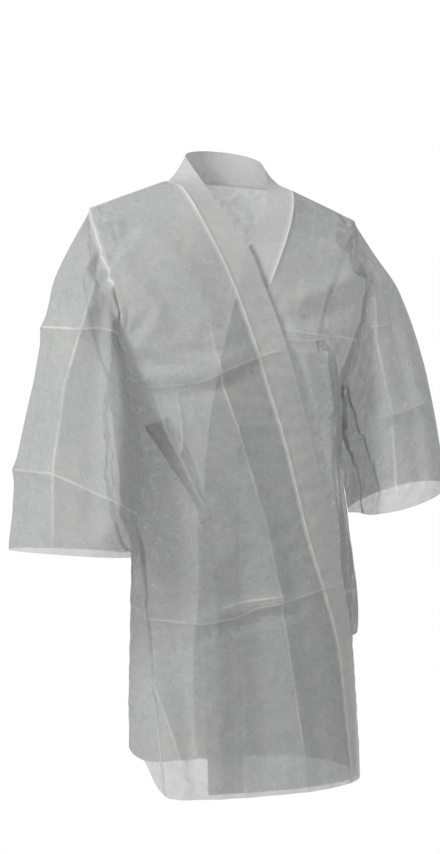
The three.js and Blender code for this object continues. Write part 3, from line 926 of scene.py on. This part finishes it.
def strip(name, middles, across, widths, shape, slant=0.0, columns=6, depth=None, slot="doubled_cloth"):
    """A flat tie along its middle line. Its far end is cut at a slant. depth gives y at each x and z."""
    middles, across = np.array(middles, float), np.array(across, float)
    along_it = np.linspace(-0.5, 0.5, columns + 1)
    share = smooth(np.linspace(0, 1, len(middles)), 0.9, 1)
    grid = middles[:, None, :] + across[:, None, :] * (np.array(widths)[:, None] * along_it)[..., None]
    heading = (middles[-1] - middles[-2]) / np.linalg.norm(middles[-1] - middles[-2])
    grid += ((share * widths * slant)[:, None] * along_it)[..., None] * heading
    if depth is not None:
        y = np.array([[depth(x, z)[1] for x, _, z in row] for row in grid])
        for _ in range(3):
            padded = np.pad(y, 1, mode="edge")
            y = (padded[:-2, 1:-1] + padded[2:, 1:-1] + padded[1:-1, :-2] + padded[1:-1, 2:]) / 4
        grid[..., 1] = y
    flat = flat_lengths(grid)
    faces, uvs = [], []
    columns += 1
    for row in range(len(middles) - 1):
        for column in range(columns - 1):
            corners = [(row, column), (row, column + 1), (row + 1, column + 1), (row + 1, column)]
            faces.append([r * columns + c for r, c in corners])
            uvs.append([flat[corner] for corner in corners])
    tie = mesh_object(name, grid.reshape(-1, 3), faces, uvs)
    rounder = tie.modifiers.new("Round", "SUBSURF")
    rounder.levels = rounder.render_levels = 1
    rounder.uv_smooth = "NONE"
    apply_modifiers(tie)
    along_edge = np.linspace(0, 1, 400)
    rim = np.concatenate([curve_through(grid[:, side], along_edge) for side in (0, -1)])
    add_creases(tie, {})
    add_distance(tie, "seam", rim)
    thicken = tie.modifiers.new("Thickness", "SOLIDIFY")
    thicken.thickness = 2 * shape.thickness
    thicken.offset = 0
    apply_modifiers(tie)
    tie.data.shade_smooth()
    tie.data.set_sharp_from_angle(angle=SHARP_ANGLE)
    tie.data.materials.append(cloth_material(slot))
    return tie


def cloth_material(slot):
    """The cloth of that finish, made once."""
    shape = bpy.context.scene.gown_shape
    name = {"nonwoven_cloth": "spunbond_polypropylene",
            "doubled_cloth": "spunbond_polypropylene_doubled"}[slot]
    if name in bpy.data.materials:
        return bpy.data.materials[name]
    cover = shape.cover if slot == "nonwoven_cloth" else shape.band_cover
    thin, thick = ("b2b6ba", "d3d3ce") if slot == "nonwoven_cloth" else ("c6c9cc", "ecebe7")
    return spunbond(name, shape, cover, shape.band_cover, thin, thick)


class GOWN_OT_drape(bpy.types.Operator):
    """Cuts and sews the gown, lets it settle, and makes its panels, bands and sleeves."""

    bl_idname = "gown.drape"
    bl_label = "Drape the gown"

    def execute(self, context):
        shape = context.scene.gown_shape
        points, pieces = sew(cut_patches())
        settled = drape(fold(points, pieces), pieces, shape)
        lines = seam_lines(pieces)
        hems = doubled_edges(settled, pieces)
        routes = {}
        for key, (name, bodies, doubled, nodes) in SHEETS.items():
            slot = "doubled_cloth" if doubled else "nonwoven_cloth"
            sheet, surface = finish_sheet(key, name, settled, pieces[key], hems, shape,
                                          cloth_material(slot))
            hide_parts(*nodes)
            attach(sheet, bodies)
            for line_name, seam, beside in lines:
                if line_name == key:
                    step = settled[beside] - settled[seam]
                    step /= np.linalg.norm(step, axis=1)[:, None]
                    route = on_surface(surface, settled[seam] + STITCH_INSET * step, 0.0002)
                    routes.setdefault(bodies, []).append(route)
        for bodies, group in routes.items():
            edges = []
            start = 0
            for route in group:
                edges += [(start + i, start + i + 1) for i in range(len(route) - 1)]
                start += len(route)
            mesh = bpy.data.meshes.new("seam_guide")
            mesh.from_pydata([tuple(p) for route in group for p in route], edges, [])
            seams = bpy.data.objects.new("seam_guide." + bodies[-1], mesh)
            context.scene.collection.objects.link(seams)
        return {"FINISHED"}


def stitch_tree(material):
    """Geometry nodes that lay stitches of thread end to end along the edges of a mesh."""
    tree = bpy.data.node_groups.new("Stitches", "GeometryNodeTree")
    tree.is_modifier = True
    tree.interface.new_socket("Seams", in_out="INPUT", socket_type="NodeSocketGeometry")
    for name in ("Pitch", "Length", "Radius"):
        tree.interface.new_socket(name, in_out="INPUT", socket_type="NodeSocketFloat")
    tree.interface.new_socket("Stitches", in_out="OUTPUT", socket_type="NodeSocketGeometry")
    inputs = add(tree, "NodeGroupInput").outputs
    curve = add(tree, "GeometryNodeMeshToCurve", {"Mesh": inputs["Seams"]})
    points = add(tree, "GeometryNodeCurveToPoints",
                 {"Curve": curve.outputs["Curve"], "Length": inputs["Pitch"]}, mode="LENGTH")
    stitch = add(tree, "GeometryNodeMeshUVSphere", {"Segments": 6, "Rings": 4, "Radius": 1.0})
    half = add(tree, "ShaderNodeMath", {0: inputs["Length"], 1: 0.5}, operation="MULTIPLY").outputs[0]
    size = add(tree, "ShaderNodeCombineXYZ", {"X": inputs["Radius"], "Y": inputs["Radius"], "Z": half})
    laid = add(tree, "GeometryNodeInstanceOnPoints",
               {"Points": points.outputs["Points"], "Instance": stitch.outputs["Mesh"],
                "Rotation": points.outputs["Rotation"], "Scale": size.outputs["Vector"]})
    real = add(tree, "GeometryNodeRealizeInstances", {"Geometry": laid.outputs["Instances"]})
    dyed = add(tree, "GeometryNodeSetMaterial", {"Geometry": real.outputs["Geometry"], "Material": material})
    add(tree, "NodeGroupOutput", {"Stitches": dyed.outputs["Geometry"]})
    return tree


class GOWN_OT_stitches(bpy.types.Operator):
    """Sews the seams with lines of stitches, one mesh for each part that moves."""

    bl_idname = "gown.stitches"
    bl_label = "Sew the seams"

    def execute(self, context):
        stitch = context.scene.gown_stitch
        tree = stitch_tree(thread_material())
        socket = {item.name: item.identifier for item in tree.interface.items_tree if item.in_out == "INPUT"}
        guides = [o for o in context.scene.objects if o.name.startswith("seam_guide.")]
        if not guides:
            raise RuntimeError("drape the gown before its seams are sewn")
        for seams in guides:
            body = seams.name.removeprefix("seam_guide.")
            sewing = seams.modifiers.new("Stitches", "NODES")
            sewing.node_group = tree
            sewing[socket["Pitch"]] = stitch.pitch
            sewing[socket["Length"]] = stitch.length
            sewing[socket["Radius"]] = stitch.radius
            seams.name = body + "_stitches"
            apply_modifiers(seams)
            seams.data.shade_smooth()
            attach(seams, ("gown",) if body == "gown" else ("gown", body))
        return {"FINISHED"}


def layer_y(name, x, z):
    """Where a straight line from the front first meets that cloth."""
    cloth = bpy.data.objects[name]
    hit, place, _, _ = cloth.ray_cast(Vector((x, -1, z)), Vector((0, 1, 0)))
    return place.y if hit else None


def between_layers(x, z):
    """The middle of the gap between the outer front and the inner front."""
    outer = layer_y("right_front_panel_cloth", x, z)
    inner = layer_y("left_front_panel_cloth", x, z)
    if inner is None:
        inner = layer_y("left_front_band_cloth", x, z)
    if outer is None:
        raise RuntimeError(f"no outer front at {x:.3f}, {z:.3f}")
    return (x, outer + 0.010 if inner is None else 0.4 * outer + 0.6 * inner, z)


KNOT = np.array((-0.075, 0, -0.524))


class GOWN_OT_inner_ties(bpy.types.Operator):
    """The knotted pair of ties that holds the inner front under the outer one, and its hanging end."""

    bl_idname = "gown.inner_ties"
    bl_label = "Tie the inner front"

    def execute(self, context):
        shape = context.scene.gown_shape
        share = np.linspace(0, 1, 22)
        knot = np.array(between_layers(KNOT[0], KNOT[2]))
        start = np.array((-0.142, 0, -0.378))
        route = start + (KNOT + (0, 0, 0.008) - start) * share[:, None]
        slope = np.cross((KNOT - start) / np.linalg.norm(KNOT - start), (0, 1, 0))
        route += slope * (0.005 * np.sin(np.pi * share))[:, None]
        middles = [between_layers(x, z) for x, _, z in route]
        right = strip("right_inner_tie_cloth", middles, np.tile(slope, (22, 1)),
                      0.033 + (0.013 - 0.033) * smooth(share, 0.35, 1), shape, depth=between_layers,
                      slot="nonwoven_cloth")
        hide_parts("right_inner_tie")
        start = np.array((-0.034, 0, -0.515))
        finish = KNOT + (0.013, 0, 0.002)
        route = start + (finish - start) * share[:8, None] / share[7]
        middles = [between_layers(x, z) for x, _, z in route]
        left = strip("left_inner_tie_cloth", middles, np.tile((0, 0, 1), (8, 1)),
                     np.linspace(0.028, 0.014, 8), shape, depth=between_layers)
        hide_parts("left_inner_tie")
        height = -0.536 + (-0.884 + 0.536) * share
        drift = -0.075 - 0.003 * (1 - share) + 0.0025 * np.sin(7 * share)
        middles = [between_layers(x, z) for x, z in zip(drift, height)]
        middles = np.array(middles)
        middles[:, 1] += 0.0015 * np.sin(9 * share)
        across = np.stack([np.ones(22), 0.10 * np.sin(5 * share), np.zeros(22)], -1)
        tail = strip("inner_tie_tail_cloth", middles, across, 0.017 + 0.015 * smooth(share, 0, 0.6),
                     shape, slant=0.45, depth=between_layers)
        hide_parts("inner_tie_tail")
        tied = self.knot(knot)
        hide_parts("inner_knot")
        for piece in (right, left, tied):
            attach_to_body(piece, "gown")
        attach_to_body(tail, "inner_tie_tail")
        return {"FINISHED"}

    def knot(self, middle):
        """Cloth pulled into an overhand knot: a crumpled cord of it along a flattened trefoil."""
        turn = np.linspace(0, 2 * np.pi, 61)[:-1]
        route = np.stack([0.0026 * (np.sin(turn) + 2 * np.sin(2 * turn)), 0.0022 * np.sin(3 * turn),
                          0.0030 * (np.cos(turn) - 2 * np.cos(2 * turn))], -1) + middle
        ahead = np.roll(route, -1, 0) - np.roll(route, 1, 0)
        ahead /= np.linalg.norm(ahead, axis=1)[:, None]
        side = np.cross(ahead, (0, 1, 0))
        side /= np.linalg.norm(side, axis=1)[:, None]
        out = np.cross(side, ahead)
        around = np.linspace(0, 2 * np.pi, 17)[:-1]
        crumple = 1 + 0.16 * np.sin(5 * around[None, :] + 2 * np.sin(3 * turn)[:, None])
        ring = (side[:, None] * (np.cos(around) * 0.0036 * crumple)[..., None]
                + out[:, None] * (np.sin(around) * 0.0019 * crumple)[..., None])
        points = (route[:, None] + ring).reshape(-1, 3)
        faces, uvs = [], []
        for i in range(60):
            for j in range(16):
                following, beside = (i + 1) % 60, (j + 1) % 16
                faces.append((i * 16 + j, i * 16 + beside, following * 16 + beside, following * 16 + j))
                uvs.append([(0.001 * (j + b), 0.0015 * (i + a)) for a, b in ((0, 0), (0, 1), (1, 1), (1, 0))])
        tied = mesh_object("inner_knot_cloth", points, faces, uvs)
        add_creases(tied, {})
        add_distance(tied, "seam", route)
        tied.data.shade_smooth()
        tied.data.materials.append(cloth_material("doubled_cloth"))
        return tied


class GOWN_OT_side_tie(bpy.types.Operator):
    """The outer tie that hangs loose from the left side seam."""

    bl_idname = "gown.side_tie"
    bl_label = "Hang the side tie"

    def execute(self, context):
        shape = context.scene.gown_shape
        low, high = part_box("side_tie")
        share = np.linspace(0, 1, 26)
        height = high[2] + (low[2] + 0.008 - high[2]) * share
        x = along(MIDDLE_X, height) + along(HALF_WIDTH, height) + 0.0095 + 0.002 * np.sin(8 * share)
        y = 0.004 * np.sin(5.5 * share)
        across = np.stack([0.35 * np.sin(6 * share), np.cos(0.5 * np.sin(6 * share)), np.zeros(26)], -1)
        tie = strip("side_tie_cloth", np.stack([x, y, height], -1), across,
                    np.full(26, TIE_WIDTH), shape, slant=0.35)
        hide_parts("side_tie")
        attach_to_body(tie, "side_tie")
        return {"FINISHED"}


class GOWN_OT_stage(bpy.types.Operator):
    """A plain pale floor, soft lamps and the camera."""

    bl_idname = "gown.stage"
    bl_label = "Set the stage"

    def execute(self, context):
        scene = context.scene
        stage = scene.gown_stage
        rim = np.linspace(0, 2 * np.pi, 97)[:-1]
        floor = mesh_object("floor", [(1.3 * math.cos(a), 1.3 * math.sin(a), stage.floor) for a in rim],
                            [tuple(range(96))])
        floor.data.materials.append(self.floor_material())
        turn = stage.azimuth
        ahead = Vector((-math.sin(turn), math.cos(turn), 0))
        beside = Vector((math.cos(turn), math.sin(turn), 0))
        self.lamp("key", (-1.9, -1.8, 1.2), 0.8, 62, beside, ahead)
        self.lamp("fill", (2.2, -1.4, 0.2), 1.8, 8, beside, ahead)
        self.lamp("rim", (0.8, 2.0, 1.3), 1.4, 18, beside, ahead)
        world = bpy.data.worlds.new("pale_studio")
        world.use_nodes = True
        tree = world.node_tree
        sky = tree.nodes["Background"]
        seen = add(tree, "ShaderNodeLightPath").outputs["Is Camera Ray"]
        strength = add(tree, "ShaderNodeMapRange", {"Value": seen, "To Min": 0.34, "To Max": 1.0})
        sky.inputs["Color"].default_value = colour("ffffff")
        tree.links.new(strength.outputs["Result"], sky.inputs["Strength"])
        scene.world = world
        camera_data = bpy.data.cameras.new("camera")
        camera_data.lens = stage.focal
        camera = bpy.data.objects.new("camera", camera_data)
        scene.collection.objects.link(camera)
        camera.location = Vector((0, 0, stage.height)) - stage.distance * ahead - 0.0095 * beside
        camera.rotation_euler = ahead.to_track_quat("-Z", "Y").to_euler()
        scene.camera = camera
        scene.view_settings.view_transform = "Standard"
        return {"FINISHED"}

    def lamp(self, name, place, size, power, beside, ahead):
        """A soft square lamp, placed as the camera sees it, which faces the gown."""
        data = bpy.data.lights.new(name, "AREA")
        data.energy = power
        data.size = size
        lamp = bpy.data.objects.new(name, data)
        bpy.context.scene.collection.objects.link(lamp)
        lamp.location = place[0] * beside + place[1] * ahead + Vector((0, 0, place[2]))
        facing = Vector((0, 0, -0.4)) - lamp.location
        lamp.rotation_euler = facing.to_track_quat("-Z", "Y").to_euler()

    def floor_material(self):
        """Matt pale floor paint, with a little unevenness."""
        material = bpy.data.materials.new("floor_paint")
        material.use_nodes = True
        tree = material.node_tree
        shader = tree.nodes["Principled BSDF"]
        place = add(tree, "ShaderNodeTexCoord").outputs["Object"]
        uneven = add(tree, "ShaderNodeTexNoise", {"Vector": place, "Scale": 3.0,
                                                  "Detail": 4.0}).outputs["Fac"]
        tint = add(tree, "ShaderNodeMix", {"Factor": uneven, "A": colour("f2f2f0"), "B": colour("f8f8f6")},
                   data_type="RGBA")
        tree.links.new(tint.outputs["Result"], shader.inputs["Base Color"])
        shader.inputs["Roughness"].default_value = 0.8
        return material


class GOWN_PT_panel(bpy.types.Panel):
    """Lists the steps that make the gown."""

    bl_idname = "GOWN_PT_panel"
    bl_label = "Patient gown"
    bl_space_type = "VIEW_3D"
    bl_region_type = "UI"
    bl_category = "Gown"

    def draw(self, context):
        layout = self.layout
        for group in (context.scene.gown_shape, context.scene.gown_stitch, context.scene.gown_stage):
            for name in group.bl_rna.properties.keys():
                if name not in ("rna_type", "name"):
                    layout.prop(group, name)
        for operator in OPERATORS:
            layout.operator(operator.bl_idname)


OPERATORS = (GOWN_OT_drape, GOWN_OT_inner_ties, GOWN_OT_side_tie, GOWN_OT_stitches, GOWN_OT_stage)
CLASSES = (GownShape, GownStitch, GownStage, *OPERATORS, GOWN_PT_panel)


def register():
    for cls in CLASSES:
        bpy.utils.register_class(cls)
    bpy.types.Scene.gown_shape = PointerProperty(type=GownShape)
    bpy.types.Scene.gown_stitch = PointerProperty(type=GownStitch)
    bpy.types.Scene.gown_stage = PointerProperty(type=GownStage)


def unregister():
    del bpy.types.Scene.gown_stage
    del bpy.types.Scene.gown_stitch
    del bpy.types.Scene.gown_shape
    for cls in reversed(CLASSES):
        bpy.utils.unregister_class(cls)


def main():
    register()
    bpy.ops.gown.drape()
    bpy.ops.gown.inner_ties()
    bpy.ops.gown.side_tie()
    bpy.ops.gown.stitches()
    bpy.ops.gown.stage()


if __name__ == "__main__":
    main()
